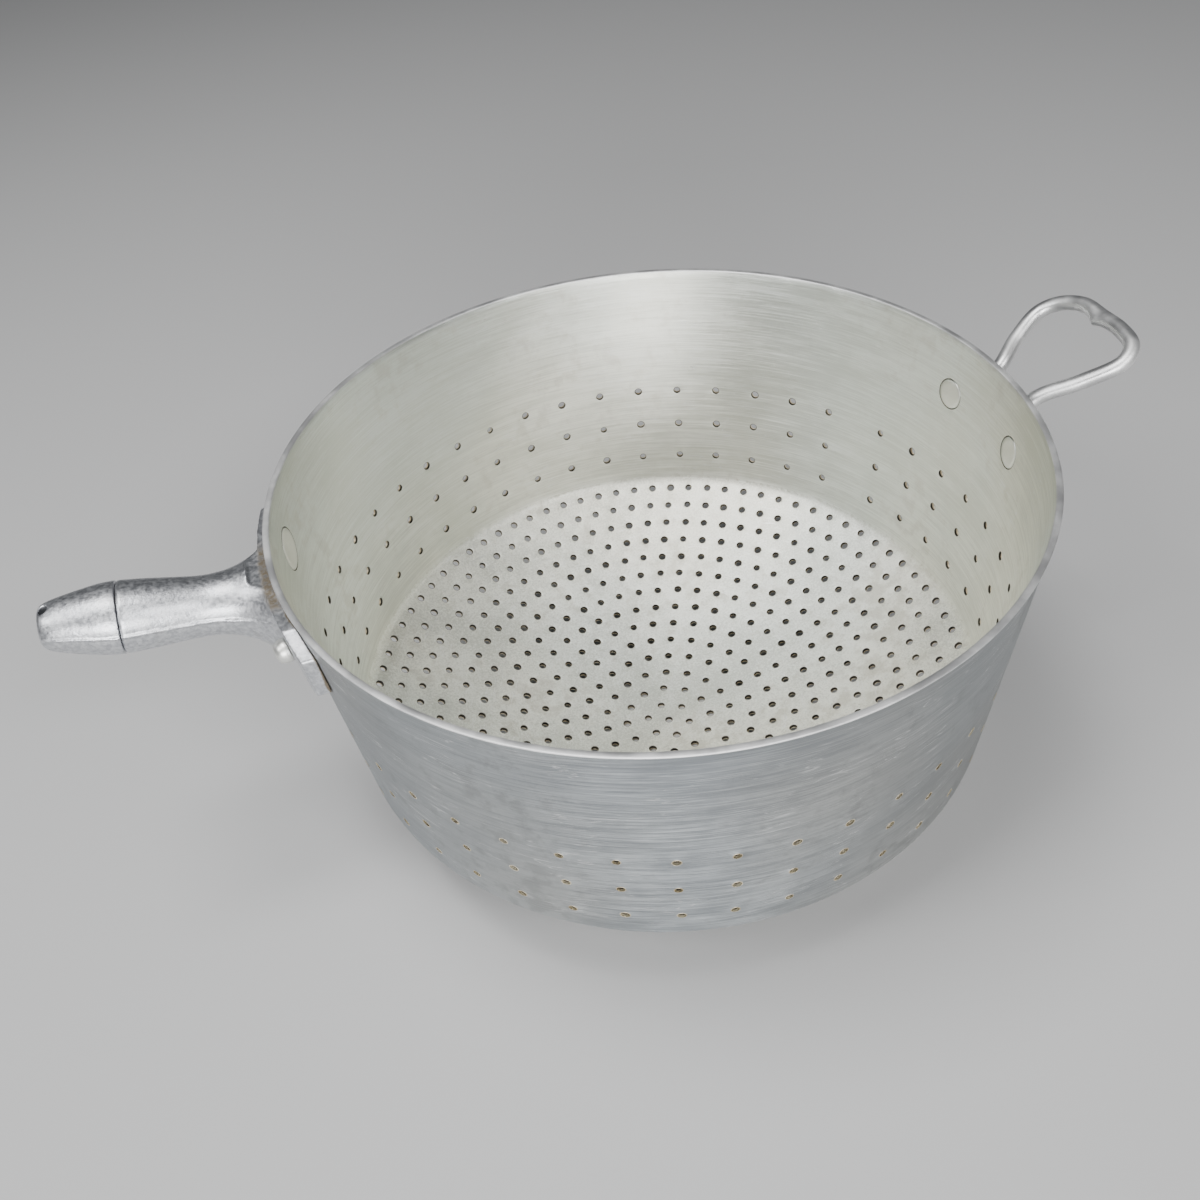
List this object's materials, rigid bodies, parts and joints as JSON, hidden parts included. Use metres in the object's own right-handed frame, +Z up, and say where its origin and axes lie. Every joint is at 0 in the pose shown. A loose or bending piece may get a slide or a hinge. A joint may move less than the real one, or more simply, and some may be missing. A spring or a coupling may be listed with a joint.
{
  "type": "perforated strainer bowl",
  "caption": "Deep aluminium strainer bowl with a dished perforated bottom, perforated wall rows, a cast handle and a riveted wire hook opposite.",
  "frame": {"origin": "middle of the dished bottom, on its underside", "axes": "+Z up along the bowl's axis, -X towards the cast handle within two degrees, +X towards the wire hook"},
  "size_m": [0.4115, 0.288, 0.1678],
  "materials": {
    "spun_aluminium": "brushed satin, worn",
    "cast_aluminium": "sand-cast, tumbled",
    "wire_aluminium": "drawn satin",
    "rivet_aluminium": "satin",
    "rod_steel": "plain"
  },
  "bodies": {
    "root": {"bowl": "spun_aluminium", "handle_grip": "cast_aluminium", "handle_tip": "cast_aluminium", "tie_rod": "rod_steel", "hook_loop": "wire_aluminium", "handle_rivet_1": "rivet_aluminium", "handle_rivet_2": "rivet_aluminium", "hook_rivet_1": "rivet_aluminium", "hook_rivet_2": "rivet_aluminium"}
  },
  "joints": []
}
